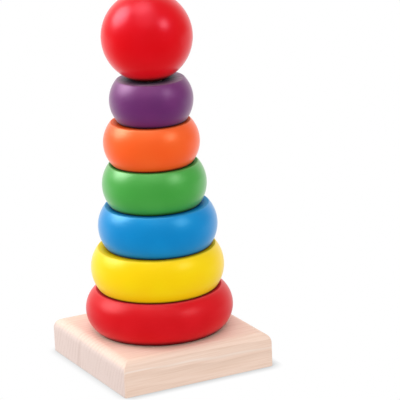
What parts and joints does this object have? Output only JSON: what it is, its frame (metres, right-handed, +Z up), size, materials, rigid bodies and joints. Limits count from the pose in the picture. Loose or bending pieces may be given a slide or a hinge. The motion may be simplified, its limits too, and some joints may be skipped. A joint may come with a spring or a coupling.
{
  "type": "stacking ring toy",
  "caption": "Wooden stacking toy: a square board with an upright post, loose coloured rings that get smaller upwards and a ball that caps the post.",
  "frame": {"origin": "centre of the board's underside, on the post's axis, where the toy stands on a table", "axes": "+Z up along the post; X along the board's long grain, so -Y is the long-grain side taken as the front and -X and +X are end grain"},
  "size_m": [0.065, 0.066, 0.15],
  "materials": {
    "bare_wood": "sanded, unfinished",
    "red_paint": "satin paint over wood",
    "yellow_paint": "satin paint over wood",
    "blue_paint": "satin paint over wood",
    "green_paint": "satin paint over wood",
    "orange_paint": "satin paint over wood",
    "purple_paint": "satin paint over wood",
    "ball_red_paint": "satin paint over wood"
  },
  "bodies": {
    "stand": {"base_board": "bare_wood", "post": "bare_wood"},
    "red_ring": {"ring_red": "red_paint"},
    "yellow_ring": {"ring_yellow": "yellow_paint"},
    "blue_ring": {"ring_blue": "blue_paint"},
    "green_ring": {"ring_green": "green_paint"},
    "orange_ring": {"ring_orange": "orange_paint"},
    "purple_ring": {"ring_purple": "purple_paint"},
    "ball": {"ball": "ball_red_paint"}
  },
  "joints": [
    {"name": "lift_red_ring", "type": "slide", "parent": "stand", "child": "red_ring", "axis": [0, 0, 1], "range_m": [0, 0.117]},
    {"name": "lift_yellow_ring", "type": "slide", "parent": "red_ring", "child": "yellow_ring", "axis": [0, 0, 1], "range_m": [0, 0.1001]},
    {"name": "lift_blue_ring", "type": "slide", "parent": "yellow_ring", "child": "blue_ring", "axis": [0, 0, 1], "range_m": [0, 0.0832]},
    {"name": "lift_green_ring", "type": "slide", "parent": "blue_ring", "child": "green_ring", "axis": [0, 0, 1], "range_m": [0, 0.0663]},
    {"name": "lift_orange_ring", "type": "slide", "parent": "green_ring", "child": "orange_ring", "axis": [0, 0, 1], "range_m": [0, 0.0494]},
    {"name": "lift_purple_ring", "type": "slide", "parent": "orange_ring", "child": "purple_ring", "axis": [0, 0, 1], "range_m": [0, 0.0325]},
    {"name": "lift_ball", "type": "slide", "parent": "purple_ring", "child": "ball", "axis": [0, 0, 1], "range_m": [0, 0.0156]}
  ]
}
